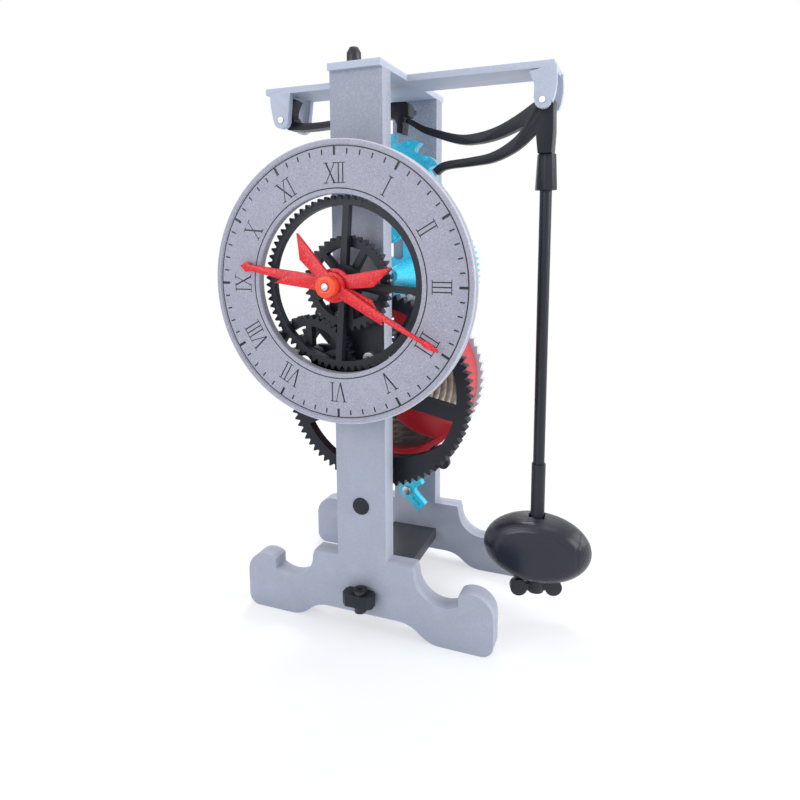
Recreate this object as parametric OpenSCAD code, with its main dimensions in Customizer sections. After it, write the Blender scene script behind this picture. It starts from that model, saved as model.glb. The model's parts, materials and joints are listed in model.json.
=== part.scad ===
// Geared teaching clock with a Galileo escapement, as separate printed and metal pieces.
// Lengths are in millimetres. X is to the right, Y goes back and Z goes up from the ground.
// Depths ("..._front") are measured back from the front frame's front face, and positions
// across are measured from the middle of the columns; both are shifted so that the origin
// is under the middle of the whole clock.

/* [Frames] */
// front face of the front frame to back face of the rear frame
frame_depth = 63.15; // [62:0.5:66]
// thickness of each frame
frame_t = 7.05; // [6.5:0.1:7.2]
// half the width of a column
column_half = 9.16; // [8.5:0.1:10]
// top of the columns
column_top = 191; // [190:0.5:194]
// half the width of the shoulders beside a column's foot
shoulder_half = 18.7; // [18:0.1:19]
// top of the shoulders
shoulder_top = 26.4; // [25:0.2:28]
// half the width across the feet
foot_half = 46.9; // [46:0.2:50]
// height of the arch under the middle
arch_rise = 6; // [5:0.2:7]

/* [Bridge] */
// thickness of the bridge plate across the column tops
bridge_t = 2.18; // [2:0.1:3]
// how far the bridge runs past the frames at the front and the back
bridge_over = 1.64; // [0.5:0.1:3]
// left end of the cross bar
bridge_left = -47.2; // [-50:0.5:-46]
// right end of the cross bar
bridge_right = 58.2; // [58:0.5:62]
// depth of the cross bar's front edge
bar_front = 22.95; // [22.5:0.05:23]
// width of the cross bar from front to back
bar_w = 18.5; // [18:0.1:19]
// thickness of the ears that carry the pivot pins
ear_t = 2.6; // [2:0.1:3]

/* [Train] */
// height of the great wheel's axis
great_z = 84; // [83:0.2:85]
// tooth module of the great wheel and the centre pinion
great_module = 0.865; // [0.865:0.001:0.87]
// tooth module of the other wheels
fine_module = 0.75; // [0.75:0.001:0.755]
// play between two meshed teeth
backlash = 0.2; // [0.18:0.01:0.24]
// radial clearance of a turning fit
run_gap = 0.05; // [0.03:0.01:0.08]

/* [Escapement] */
// radius to the tips of the escape wheel's teeth
escape_tip_r = 19.7; // [19.4:0.1:19.8]
// radius of the circle of impulse pins
impulse_r = 17.2; // [17:0.1:17.4]
// radius of an impulse pin
impulse_pin_r = 0.9; // [0.7:0.05:1]
// gap between the detent's claw and the circle of tooth tips
claw_gap = 0.25; // [0.2:0.05:0.4]

/* [Dial and hands] */
// outer radius of the dial ring
dial_r = 43.9; // [43:0.2:46]
// radius of the hole in the dial ring
dial_hole_r = 27.8; // [27:0.1:28.2]
// thickness of the dial ring, without its raised rim
dial_t = 3; // [2.6:0.1:3]
// depth of the engraved lines and numerals
engrave = 0.3; // [0.2:0.05:0.5]
// direction of the hour hand, in degrees from 3 o'clock
hour_angle = 170.2; // [0:0.1:360]
// direction of the minute hand, in degrees from 3 o'clock
minute_angle = -28.4; // [-180:0.1:180]

/* [Pendulum] */
// distance of the pendulum rod from the middle of the columns
rod_x = 55.6; // [55:0.2:57]
// radius of the pendulum rod
rod_r = 2; // [1.8:0.1:2.2]
// half the width of the bob
bob_half_w = 19.05; // [18:0.1:20]
// half the height of the bob
bob_half_h = 12.4; // [12:0.1:13]
// half the thickness of the bob
bob_half_t = 7.5; // [7:0.1:8]

/* [Spring] */
// turns of the mainspring
spring_turns = 9; // [6:1:11]
// thickness of the mainspring's strip
spring_t = 0.6; // [0.4:0.05:0.8]

/* [Hidden] */
$fn = 96;
eps = 0.01;
pressure_angle = 28;
addendum = 0.8;
dedendum = 1.08;

// origin: the middle of the whole clock's box, on the ground
cap_front = -24.5;
knob_back = frame_depth + 8.85;
mid_x = (rod_x + bob_half_w + bridge_left) / 2;
mid_y = (cap_front + knob_back) / 2;
rear_front = frame_depth - frame_t;
bridge_top = column_top + bridge_t;
// the top screws stand a little left of the columns' middle
top_screw_x = -2;

// tooth counts
great_n = 80;
pinion_n = 12;
centre_n = 72;
motion_n = 13;
idler_n = 39;
idler_pinion_n = 6;
hour_n = 72;
escape_n = 12;
ratchet_n = 60;

// axes
centre_z = great_z + (great_n + pinion_n) / 2 * great_module;
escape_z = centre_z + (centre_n + pinion_n) / 2 * fine_module;
idler_reach = idler_n * fine_module;
drive_reach = (idler_n + motion_n) / 2 * fine_module;
centre_drop = centre_z - great_z;
idler_drop = (pow(idler_reach, 2) - pow(drive_reach, 2) + pow(centre_drop, 2)) / 2 / centre_drop;
idler_x = -sqrt(pow(idler_reach, 2) - pow(idler_drop, 2));
idler_z = centre_z - idler_drop;
idler_angle = atan2(idler_z - centre_z, idler_x);
swing_x = 54.8;
swing_z = 181.2;
detent_x = -41;
detent_z = 181.7;
click_z = 34.5;
tie_z = 13.1;

// layers, as depths behind the front frame's front face
hour_front = -12.1;
hour_t = 2.7;
minute_front = -8.9;
minute_t = 3;
dial_back = -13.2;
great_front = 12.9;
great_t = 4.1;
drum_front = 30;
drum_t = 15;
ratchet_front = 46.3;
ratchet_t = 3.3;
centre_front = 51.8;
centre_t = 3.4;
escape_front = 29;
escape_t = 4;
bob_mid = 32;
hour_hand_front = -18.4;
minute_hand_front = -20.5;
hand_t = 1.5;

// radii of shafts
centre_r = 1.15;
escape_arbor_r = 1;
arbor_r = 1.5;
arbor_big_r = 3;
boss_r = 4;
boss_small_r = 2.8;
minute_tube_r = 2.2;
hour_tube_r = 3.5;
pin_r = 1;
screw_r = 1.5;
tie_r = 1.25;

// tooth phases: a tooth points this way, in degrees from 3 o'clock
great_phase = 0;
centre_phase = 2.5;
hour_phase = 1.5;

// phase of wheel b, of nb teeth, that meshes with wheel a, of na teeth, when b lies at angle dir from a
function mesh(dir, na, phase_a, nb) = dir + 180 + 180 / nb - (phase_a - dir) * na / nb;

pinion_phase = mesh(90, great_n, great_phase, pinion_n);
escape_pinion_phase = mesh(90, centre_n, centre_phase, pinion_n);
idler_pinion_phase = mesh(idler_angle, hour_n, hour_phase, idler_pinion_n);
idler_phase = 4.6;
minute_phase = mesh(idler_angle + 180, idler_n, idler_phase, idler_n);
drive_dir = atan2(great_z - idler_z, -idler_x);
drive_phase = mesh(drive_dir, idler_n, idler_phase, motion_n);

// ---------- helpers ----------

// a flat drawing across X and Z, standing at a depth and as thick as given
module plate(front, thick) {
  translate([-mid_x, front + thick - mid_y, 0]) rotate([90, 0, 0]) linear_extrude(thick) children();
}

// a round shaft from front to back
module shaft(x, z, front, length, r) {
  translate([x - mid_x, front + length - mid_y, z]) rotate([90, 0, 0]) cylinder(h = length, r = r);
}

// an upright round shaft
module post(x, depth, z, length, r) {
  translate([x - mid_x, depth - mid_y, z]) cylinder(h = length, r = r);
}

// a block by its low corner and size
module block(x, front, z, size) {
  translate([x - mid_x, front - mid_y, z]) cube(size);
}

// an involute's turn in degrees at pressure angle a
function involute(a) = tan(a) * 180 / PI - a;

// half the angle a tooth of n teeth and pitch radius rp takes up at radius r
function tooth_half(n, rp, r) =
  90 / n - backlash / 4 / rp * 180 / PI + involute(pressure_angle)
  - involute(acos(min(1, rp * cos(pressure_angle) / r)));

function polar(r, a) = [r * cos(a), r * sin(a)];

// outline of a gear with n teeth of module m, one tooth pointing along angle phase
function gear_points(n, m, phase) =
  let (rp = n * m / 2, root = rp - dedendum * m, tip = rp + addendum * m,
       radii = [root, max(root + eps, rp * cos(pressure_angle)), rp, (rp + tip) / 2, tip])
  [for (i = [0 : n - 1], k = [0 : 9])
    let (side = k < 5 ? -1 : 1, r = radii[k < 5 ? k : 9 - k])
    polar(r, phase + 360 * i / n + side * tooth_half(n, rp, r))];

module gear(n, m, phase) {
  polygon(gear_points(n, m, phase));
}

// windows between a rim and a hub, left open between spokes
module windows(rim_r, hub_r, spokes, spoke_w, phase) {
  difference() {
    circle(rim_r);
    circle(hub_r);
    for (i = [0 : spokes - 1]) {
      rotate(phase + 360 * i / spokes) translate([0, -spoke_w / 2]) square([rim_r + 1, spoke_w]);
    }
  }
}

// a smooth curve through points [x, z, half width], with n steps between two of them
function curve_at(a, b, c, d, t) =
  (2 * b + (c - a) * t + (2 * a - 5 * b + 4 * c - d) * t * t + (3 * b - a - 3 * c + d) * t * t * t) / 2;
function smooth(p, n) = concat(
  [for (i = [0 : len(p) - 2], k = [0 : n - 1])
    curve_at(p[max(i - 1, 0)], p[i], p[i + 1], p[min(i + 2, len(p) - 1)], k / n)],
  [p[len(p) - 1]]);

// one side of a band along points [x, z, half width]
function band_side(q, s) =
  [for (i = [0 : len(q) - 1])
    let (a = q[max(i - 1, 0)], b = q[min(i + 1, len(q) - 1)], dx = b[0] - a[0], dz = b[1] - a[1],
         run = norm([dx, dz]))
    [q[i][0] - s * q[i][2] * dz / run, q[i][1] + s * q[i][2] * dx / run]];
function backwards(v) = [for (i = [len(v) - 1 : -1 : 0]) v[i]];

// a curved band, as flat outline
module band(p, n = 5) {
  q = smooth(p, n);
  polygon(concat(band_side(q, -1), backwards(band_side(q, 1))));
}

// ---------- frames ----------

lobe_r = 7.6;
lobe_z = 13.6;
foot_r = 4.2;
bowl_x = 29.3;
bowl_z = 24.4;
bowl_r = 10;
bowl_end = 35;
arch_flat = 13.5;
arch_end = 29;
arch_r = (pow(arch_end - arch_flat, 2) + pow(arch_rise, 2)) / 4 / arch_rise;

// the outer end of one foot: a rounded toe with a curled lobe on top
module toe() {
  translate([bowl_x, foot_r]) square([foot_half - bowl_x, lobe_z - foot_r]);
  translate([bowl_x, 0]) square([foot_half - foot_r - bowl_x, lobe_z]);
  translate([foot_half - foot_r, foot_r]) circle(foot_r);
  translate([foot_half - lobe_r, lobe_z]) circle(lobe_r);
}

// what is cut from one side: the bowl, up to the curl's upright wall, and half of the arch
module foot_cuts() {
  intersection() {
    translate([bowl_x, bowl_z]) circle(bowl_r);
    square([bowl_end, 2 * shoulder_top]);
  }
  translate([-eps, -1]) square([arch_flat + eps, arch_rise + 1]);
  translate([arch_flat, arch_rise - arch_r]) circle(arch_r);
  difference() {
    translate([arch_flat, -1]) square([arch_end - arch_flat, arch_rise / 2 + 1]);
    translate([arch_end, arch_r]) circle(arch_r);
  }
}

module frame_outline() {
  translate([-column_half, arch_rise]) square([2 * column_half, column_top - arch_rise]);
  difference() {
    union() {
      translate([-bowl_end, 0]) square([2 * bowl_end, lobe_z]);
      translate([-bowl_end, 0]) square([2 * bowl_end, shoulder_top]);
      toe();
      mirror([1, 0]) toe();
    }
    foot_cuts();
    mirror([1, 0]) foot_cuts();
    for (s = [-1, 1]) {
      translate([s > 0 ? shoulder_half : -bowl_end - 1, bowl_z]) square([bowl_end + 1 - shoulder_half, 9]);
    }
  }
}

plug_z = 45.9;
plug_r = 3.05;
bush_r = 2.6;
dial_post_top = 160.5;
dial_post_x = 7.2;
dial_post_z = 88.4;
spigot_r = 1.1;
bracket_screw_x = 5.5;
bracket_screw_low = 99;
bracket_screw_high = 112;
mark_z = 186.4;

module front_frame() {
  color([0.63, 0.67, 0.73]) difference() {
    plate(0, frame_t) frame_outline();
    shaft(0, great_z, -1, frame_t + 2, boss_r + run_gap);
    shaft(0, centre_z, -1, frame_t + 2, bush_r);
    shaft(0, escape_z, 1.5, frame_t, bush_r);
    shaft(0, plug_z, -1, 4, plug_r);
    shaft(0, tie_z, -1, frame_t + 2, tie_r);
    shaft(0, dial_post_top, -1, 4, spigot_r);
    shaft(dial_post_x, dial_post_z, -1, 4, spigot_r);
    shaft(-bracket_screw_x, bracket_screw_high, -1, 6, pin_r);
    shaft(bracket_screw_x, bracket_screw_low, -1, 6, pin_r);
    post(top_screw_x, frame_t / 2, column_top - 12, 13, screw_r);
  }
}

module rear_frame() {
  color([0.63, 0.67, 0.73]) difference() {
    plate(rear_front, frame_t) frame_outline();
    shaft(0, great_z, rear_front - 1, frame_t + 2, arbor_big_r + run_gap);
    shaft(0, centre_z, rear_front - 1, frame_t - 0.5, bush_r);
    shaft(0, escape_z, rear_front - 1, frame_t - 0.5, bush_r);
    shaft(0, click_z, rear_front - 1, 6, screw_r);
    shaft(0, tie_z, rear_front - 1, frame_t + 2, tie_r);
    shaft(0, mark_z, rear_front - 1, 2.5, 1.1);
    post(top_screw_x, frame_depth - frame_t / 2, column_top - 12, 13, screw_r);
  }
}

// ---------- bridge, screws and the base ----------

ear_low = 178.6;

// outline of a right ear, hanging from the bridge
module right_ear() {
  band([[54.7, column_top + 0.1, 4.3], [55.5, 187, 3.6], [55.4, 183.5, 3.3], [54.9, 181.2, 3]], 6);
  translate([swing_x, swing_z]) circle(swing_z - ear_low);
}

// outline of a left ear
module left_ear() {
  band([[-41.2, column_top + 0.1, 4.3], [-41.3, 187, 3.9], [-41.2, 183.5, 3.4], [-41, 181.7, 3.1]], 6);
  translate([detent_x, detent_z]) circle(detent_z - ear_low);
}

module top_bridge() {
  color([0.66, 0.69, 0.75]) difference() {
    union() {
      block(-column_half, -bridge_over, column_top,
            [2 * column_half, frame_depth + 2 * bridge_over, bridge_t]);
      block(bridge_left, bar_front, column_top, [bridge_right - bridge_left, bar_w, bridge_t]);
      for (f = [bar_front, bar_front + bar_w - ear_t]) {
        plate(f, ear_t) right_ear();
        plate(f, ear_t) left_ear();
      }
    }
    shaft(swing_x, swing_z, bar_front - 1, bar_w + 2, pin_r);
    shaft(detent_x, detent_z, bar_front - 1, bar_w + 2, pin_r);
    post(top_screw_x, frame_t / 2, column_top - 1, bridge_t + 2, screw_r);
    post(top_screw_x, frame_depth - frame_t / 2, column_top - 1, bridge_t + 2, screw_r);
  }
}

screw_head_r = 2.35;
screw_side_h = 3.6;
screw_crown_h = 1.7;
screw_crown_r = 1.35;

// a tall domed screw head standing on z, with its shank below
module domed_screw(x, depth, z, shank) {
  difference() {
    union() {
      post(x, depth, z, screw_side_h, screw_head_r);
      translate([x - mid_x, depth - mid_y, z + screw_side_h])
        cylinder(h = screw_crown_h, r1 = screw_head_r, r2 = screw_crown_r);
      post(x, depth, z - shank, shank, screw_r);
    }
    translate([x - mid_x, depth - mid_y, z + screw_side_h + 0.4])
      cylinder(h = 3, r = 1, $fn = 6);
  }
}

module top_screws() {
  color([0.14, 0.14, 0.16]) {
    domed_screw(top_screw_x, frame_t / 2, bridge_top, bridge_t + 11);
    domed_screw(top_screw_x, frame_depth - frame_t / 2, bridge_top, bridge_t + 11);
  }
}

tie_half = 9.5;
tie_low = 10.9;
tie_top = 15.2;

module base_tie() {
  color([0.13, 0.13, 0.15]) difference() {
    block(-tie_half, frame_t, tie_low, [2 * tie_half, rear_front - frame_t, tie_top - tie_low]);
    shaft(0, tie_z, frame_t - 1, rear_front - frame_t + 2, tie_r);
  }
}

rod_over = 1.7;

module tie_rod() {
  color([0.7, 0.72, 0.75]) shaft(0, tie_z, -rod_over, frame_depth + 2 * rod_over, tie_r);
}

knob_depth = 5.8;
knob_low = 11;
knob_top = 15.4;
lock_x = 0.6;
lock_depth = 3.1;
lock_r = 1.2;
lock_head_r = 2.5;
lock_foot_r = 2;

// a knob seen from above, standing out from a frame's face at y = 0 towards the front
module knob_outline() {
  polygon([[-4.6, 0], [-5.6, -1.4], [-5.6, -4.2], [-4, -knob_depth], [4, -knob_depth], [5.6, -4.2],
           [5.6, -1.4], [4.6, 0]]);
}

module wing_knobs() {
  color([0.13, 0.13, 0.15]) difference() {
    union() {
      translate([-mid_x, -mid_y, knob_low]) linear_extrude(knob_top - knob_low) knob_outline();
      translate([-mid_x, frame_depth - mid_y, knob_low]) linear_extrude(knob_top - knob_low)
        mirror([0, 1]) knob_outline();
    }
    shaft(0, tie_z, -rod_over, frame_depth + 2 * rod_over, tie_r);
    for (y = [-lock_depth, frame_depth + lock_depth]) {
      post(lock_x, y, knob_low - 1, knob_top - knob_low + 2, lock_r);
    }
  }
}

// an upright screw that locks each knob: a head above it and a foot below it
module knob_screws() {
  color([0.14, 0.14, 0.16]) for (y = [-lock_depth, frame_depth + lock_depth]) {
    difference() {
      union() {
        post(lock_x, y, knob_low - 0.5, knob_top - knob_low + 1, lock_r);
        post(lock_x, y, knob_top, 1.6, lock_head_r);
        post(lock_x, y, knob_low - 2.4, 2.4, lock_foot_r);
      }
      translate([lock_x - mid_x, y - mid_y, knob_top + 0.8]) cylinder(h = 2, r = 1.2, $fn = 6);
    }
  }
}

module column_plug() {
  color([0.5, 0.53, 0.6]) shaft(0, plug_z, -0.4, 3.4, plug_r);
}

module bushes() {
  color([0.7, 0.5, 0.25]) difference() {
    union() {
      shaft(0, centre_z, -5.5, frame_t + 5.5, bush_r);
      shaft(0, escape_z, 1.5, frame_t - 1.5, bush_r);
      shaft(0, centre_z, rear_front, frame_t - 1.5, bush_r);
      shaft(0, escape_z, rear_front, frame_t - 1.5, bush_r);
    }
    shaft(0, centre_z, -6, frame_depth + 8, centre_r + run_gap);
    shaft(0, escape_z, 1, frame_depth + 1, escape_arbor_r + run_gap);
  }
}

// ---------- dial ----------

rim_in = 42.3;
rim_raise = 0.55;
line_outer = 41.8;
line_inner = 29.3;
line_w = 0.4;
tick_out = 41;
tick_in = 39.4;
five_out = 41.7;
five_in = 39;
numeral_in = 30.7;
numeral_h = 6.2;
stroke = 0.42;
serif_w = 1.5;
dial_front = dial_back - dial_t;

// one straight stroke
module line_bar(a, b, w) {
  run = norm(b - a);
  translate(a) rotate(atan2(b[1] - a[1], b[0] - a[0])) translate([0, -w / 2]) square([run, w]);
}

// a short cross line that ends a stroke
module serif(x, y, w) {
  translate([x - w / 2, y - stroke / 3]) square([w, stroke * 2 / 3]);
}

module letter_i() {
  line_bar([0, 0], [0, numeral_h], stroke);
  serif(0, 0.15, serif_w);
  serif(0, numeral_h - 0.15, serif_w);
}

module letter_v() {
  line_bar([-1.5, numeral_h], [0, 0], stroke * 1.3);
  line_bar([1.5, numeral_h], [0, 0], stroke * 0.7);
  serif(-1.5, numeral_h - 0.15, serif_w);
  serif(1.5, numeral_h - 0.15, serif_w);
}

module letter_x() {
  line_bar([-1.5, numeral_h], [1.5, 0], stroke * 1.3);
  line_bar([1.5, numeral_h], [-1.5, 0], stroke * 0.7);
  for (x = [-1.5, 1.5], y = [0.15, numeral_h - 0.15]) {
    serif(x, y, serif_w);
  }
}

// the strokes of each hour as a row of letters: 1 is I, 5 is V and 10 is X
hour_letters = [[1], [1, 1], [1, 1, 1], [1, 1, 1, 1], [5], [5, 1], [5, 1, 1], [5, 1, 1, 1], [1, 10],
  [10], [10, 1], [10, 1, 1]];
function letter_w(c) = c == 1 ? 1.45 : 4.1;
function row_w(row, upto) = upto <= 0 ? 0 : letter_w(row[upto - 1]) + row_w(row, upto - 1);

module hour_numeral(row) {
  for (i = [0 : len(row) - 1]) {
    translate([row_w(row, i) + letter_w(row[i]) / 2 - row_w(row, len(row)) / 2, numeral_in]) {
      if (row[i] == 1) letter_i();
      if (row[i] == 5) letter_v();
      if (row[i] == 10) letter_x();
    }
  }
}

module ring(r_out, r_in) {
  difference() {
    circle(r_out);
    circle(r_in);
  }
}

module dial_marks() {
  ring(line_outer + line_w / 2, line_outer - line_w / 2);
  ring(line_inner + line_w / 2, line_inner - line_w / 2);
  for (i = [0 : 59]) {
    rotate(-6 * i) {
      if (i % 5 == 0) {
        translate([-0.42, five_in]) square([0.84, five_out - five_in]);
      } else {
        translate([-0.25, tick_in]) square([0.5, tick_out - tick_in]);
      }
    }
  }
  for (i = [0 : 11]) {
    rotate(-30 * (i + 1)) hour_numeral(hour_letters[i]);
  }
}

module dial_ring() {
  color([0.66, 0.66, 0.72]) difference() {
    union() {
      plate(dial_front, dial_t) translate([0, centre_z]) ring(dial_r, dial_hole_r);
      plate(dial_front - rim_raise, rim_raise + 1) translate([0, centre_z]) ring(dial_r, rim_in);
    }
    plate(dial_front - eps, engrave + eps) translate([0, centre_z]) dial_marks();
    shaft(0, dial_post_top, dial_back - 1.5, 3, spigot_r);
    shaft(dial_post_x, dial_post_z, dial_back - 1.5, 3, spigot_r);
  }
}

module dial_posts() {
  color([0.13, 0.13, 0.15]) {
    shaft(0, dial_post_top, dial_back, -dial_back, 2.6);
    shaft(0, dial_post_top, dial_back - 1.5, 4.5 - dial_back, spigot_r);
    shaft(dial_post_x, dial_post_z, dial_back, -dial_back, 1.9);
    shaft(dial_post_x, dial_post_z, dial_back - 1.5, 4.5 - dial_back, spigot_r);
  }
}

// ---------- motion bracket ----------

bracket_t = 3;
bracket_low = 93;
bracket_high = 117.5;

module motion_bracket() {
  color([0.13, 0.13, 0.15]) difference() {
    union() {
      plate(-bracket_t, bracket_t) {
        translate([-column_half, bracket_low]) square([2 * column_half, bracket_high - bracket_low]);
        translate([idler_x, idler_z - 4.5]) square([-idler_x, 9]);
        translate([idler_x, idler_z]) circle(4.5);
      }
      shaft(idler_x, idler_z, minute_front + minute_t + 0.2, -bracket_t - minute_front - minute_t, 3);
    }
    shaft(idler_x, idler_z, minute_front, 9, arbor_r);
    shaft(-bracket_screw_x, bracket_screw_high, -bracket_t - 1, bracket_t + 2, pin_r);
    shaft(bracket_screw_x, bracket_screw_low, -bracket_t - 1, bracket_t + 2, pin_r);
  }
}

module bracket_screws() {
  color([0.7, 0.72, 0.75]) for (p = [[-bracket_screw_x, bracket_screw_high], [bracket_screw_x, bracket_screw_low]]) {
    difference() {
      union() {
        shaft(p[0], p[1], -bracket_t - 1.6, 1.6, 2.1);
        shaft(p[0], p[1], -bracket_t, bracket_t + 5, pin_r);
      }
      plate(-bracket_t - 1.7, 1) translate(p) circle(1.1, $fn = 6);
    }
  }
}

module idler_stud() {
  color([0.75, 0.76, 0.79]) {
    shaft(idler_x, idler_z, -12.6, 12.6, arbor_r);
    shaft(idler_x, idler_z, -12.95, 0.6, 2.5);
  }
}

module detent_pin() {
  color([0.75, 0.76, 0.79]) shaft(detent_x, detent_z, bar_front - 0.4, bar_w + 0.8, pin_r);
}

module pendulum_pin() {
  color([0.75, 0.76, 0.79]) shaft(swing_x, swing_z, bar_front - 0.4, bar_w + 0.8, pin_r);
}

module click_pin() {
  color([0.75, 0.76, 0.79]) {
    shaft(0, click_z, 45.7, rear_front + 5 - 45.7, screw_r);
    shaft(0, click_z, 45.3, 0.7, 1.8);
  }
}

// ---------- barrel ----------

great_rim_r = 30.2;
web_middle = [6.9, 4.3];
web_in = 28;
lug_in = 28.3;
lug_r = 35;
lug_angle = -46.6;
great_hub_r = 9;
drum_r = 29.5;
drum_wall = 1.8;

// a crescent web inside the rim, low on the right, and a lug behind it that stands out past the teeth
module great_web() {
  difference() {
    intersection() {
      circle(great_rim_r + 1);
      polygon([[0, 0], polar(50, -115), polar(50, -70), polar(50, -25)]);
    }
    translate(web_middle) circle(web_in);
  }
}

module great_lug() {
  rotate(lug_angle) translate([lug_in, -2]) square([lug_r - lug_in, 4]);
  translate(polar(lug_r, lug_angle)) circle(2.2);
}

module great_wheel() {
  color([0.12, 0.12, 0.14]) difference() {
    union() {
      plate(great_front, great_t) translate([0, great_z]) difference() {
        gear(great_n, great_module, great_phase);
        windows(great_rim_r, great_hub_r, 5, 5, -11.5);
      }
      plate(great_front, great_t) translate([0, great_z]) great_web();
      plate(great_front + great_t - 1, 2.5) translate([0, great_z]) translate(polar(30.9, lug_angle)) circle(1.9);
      plate(great_front + great_t + 0.8, 2.2) translate([0, great_z]) great_lug();
      shaft(0, great_z, minute_front + minute_t, great_front - minute_front - minute_t, boss_r);
      shaft(0, great_z, minute_front - 0.3, minute_t + 1, boss_small_r);
      shaft(0, great_z, frame_t + 0.3, great_front - frame_t - 0.3 + 1, 6);
      shaft(0, great_z, great_front + 1, drum_front - great_front - 1, 6);
    }
    shaft(0, great_z, minute_front - 1, drum_front - minute_front + 2, arbor_r + run_gap);
  }
}

drum_window_r = 26.8;

// one leaf-shaped spoke of the drum, swept outwards to the right
module drum_leaf() {
  band([[2, -7, 5], [8.5, -13.5, 4.6], [15, -16, 4.2], [24, -17, 3.6], [28.5, -17, 3.4]]);
}

module spring_drum() {
  color([0.75, 0.13, 0.18]) difference() {
    union() {
      difference() {
        shaft(0, great_z, drum_front, drum_t, drum_r);
        shaft(0, great_z, drum_front + 2.2, drum_t, drum_r - drum_wall);
        plate(drum_front - 1, 4) translate([0, great_z]) difference() {
          circle(drum_window_r);
          for (i = [0 : 2]) {
            rotate(120 * i) drum_leaf();
          }
        }
      }
      shaft(0, great_z, drum_front, 2.2, 9);
    }
    shaft(0, great_z, drum_front - 1, 5, arbor_r + run_gap);
  }
}

spring_in = 6.4;
spring_out = drum_r - drum_wall - spring_t / 2 + 0.02;
spring_step = 10;
spring_pitch = (spring_out - spring_in) / spring_turns;
echo(mainspring_gap = spring_pitch - spring_t);

// the flat spiral mainspring: one strip from the core out to the drum's wall
function spiral_side(s) =
  [for (a = [0 : spring_step : 360 * spring_turns])
    polar(spring_in + spring_pitch * a / 360 + s * spring_t / 2, a - 120)];

module mainspring() {
  color([0.62, 0.48, 0.32]) plate(drum_front + 3, 10) translate([0, great_z])
    polygon(concat(spiral_side(1), backwards(spiral_side(-1))));
}

module motion_pinion() {
  color([0.12, 0.12, 0.14]) plate(minute_front, minute_t) translate([0, great_z]) difference() {
    gear(motion_n, fine_module, drive_phase);
    circle(boss_small_r);
  }
}

// ---------- winding ----------

core_r = 5.6;

module winding_arbor() {
  color([0.75, 0.76, 0.79]) {
    shaft(0, great_z, minute_front - 0.8, drum_front - minute_front + 3.5, arbor_r);
    shaft(0, great_z, drum_front + 2.6, knob_back - 1 - drum_front - 2.6, arbor_big_r);
  }
}

module spring_core() {
  color([0.2, 0.2, 0.22]) difference() {
    shaft(0, great_z, drum_front + 2.6, drum_t - 2.6 + 1.3, core_r);
    shaft(0, great_z, drum_front, drum_t + 5, arbor_big_r);
  }
}

ratchet_tip = 31.5;
ratchet_root = 30.2;

module ratchet_wheel() {
  color([0.85, 0.87, 0.89]) plate(ratchet_front, ratchet_t) translate([0, great_z]) difference() {
    polygon([for (i = [0 : ratchet_n - 1], k = [0, 1])
      polar(k == 0 ? ratchet_root : ratchet_tip, 360 * (i + k * 0.85) / ratchet_n)]);
    windows(26.5, 8, 5, 6, 18);
    circle(arbor_big_r);
  }
}

winding_r = 11;

module winding_knob() {
  color([0.13, 0.13, 0.15]) difference() {
    plate(frame_depth + 0.35, knob_back - frame_depth - 0.35) translate([0, great_z]) difference() {
      circle(winding_r);
      for (i = [0 : 11]) {
        rotate(30 * i) translate([winding_r + 1.1, 0]) circle(2.2);
      }
    }
    shaft(0, great_z, frame_depth, knob_back - 1 - frame_depth, arbor_big_r);
  }
}

// ---------- click ----------

click_front = ratchet_front + 0.15;
paddle_end = [6.4, 27.8];

module click() {
  color([0.15, 0.72, 0.92]) difference() {
    plate(click_front, 3) {
      translate([0, click_z]) circle(3.4);
      line_bar([0.3, click_z - 0.4], paddle_end, 4.4);
      line_bar([0.5, click_z + 0.8], [6.2, 38.6], 2);
      band([[0.6, click_z + 0.8, 2.1], [2.6, 39.5, 2], [4.2, 44.5, 1.8], [4.2, 48.3, 1.6],
            [3.2, 50.4, 1.1], [1.5, 51.6, 0.6]]);
    }
    plate(click_front - 1, 1.8) line_bar([2.6, 31.9], [5.5, 28.8], 1.3);
    shaft(0, click_z, click_front - 1, 5, screw_r + run_gap);
  }
}

// ---------- centre arbor ----------

module centre_arbor() {
  color([0.85, 0.86, 0.88]) shaft(0, centre_z, cap_front, rear_front + 5 - cap_front, centre_r);
}

module centre_wheel() {
  color([0.15, 0.72, 0.92]) difference() {
    union() {
      plate(centre_front, centre_t) translate([0, centre_z]) difference() {
        gear(centre_n, fine_module, centre_phase);
        windows(23.6, 7, 5, 6.5, 90);
      }
      translate([-mid_x, centre_front + 1 - mid_y, centre_z]) rotate([90, 0, 0])
        cylinder(h = centre_front + 1 - 30, r1 = 6, r2 = 2.5);
    }
    shaft(0, centre_z, 29, 30, centre_r);
  }
}

module centre_pinion() {
  color([0.12, 0.12, 0.14]) difference() {
    union() {
      plate(great_front - 0.5, great_t + 1) translate([0, centre_z]) gear(pinion_n, great_module, pinion_phase);
      shaft(0, centre_z, frame_t + 0.3, great_front - frame_t - 0.3, 3.4);
    }
    shaft(0, centre_z, frame_t, 20, centre_r);
  }
}

module hand_cap() {
  color([0.94, 0.28, 0.16]) difference() {
    shaft(0, centre_z, cap_front + 0.25, 3.55, 3.35);
    shaft(0, centre_z, cap_front - 1, 8, centre_r);
  }
}

// ---------- escape wheel ----------

tooth_lead = 83.8;
pin_lead = 11.7;

module escape_arbor() {
  color([0.85, 0.86, 0.88]) shaft(0, escape_z, 2.2, rear_front + 4.8 - 2.2, escape_arbor_r);
}

// points of one hooked tooth: undercut on its clockwise side, with a rounded back up to the tip
function escape_tooth(a) =
  [polar(16, a + 29.2), polar(16.3, a + 25), polar(16.8, a + 20.5), polar(17.9, a + 16),
   polar(18.8, a + 10.5), polar(19.4, a + 5.5), polar(escape_tip_r, a + 1.2), polar(escape_tip_r, a),
   polar(17.4, a + 1.2), polar(16, a + 0.4)];

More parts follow.
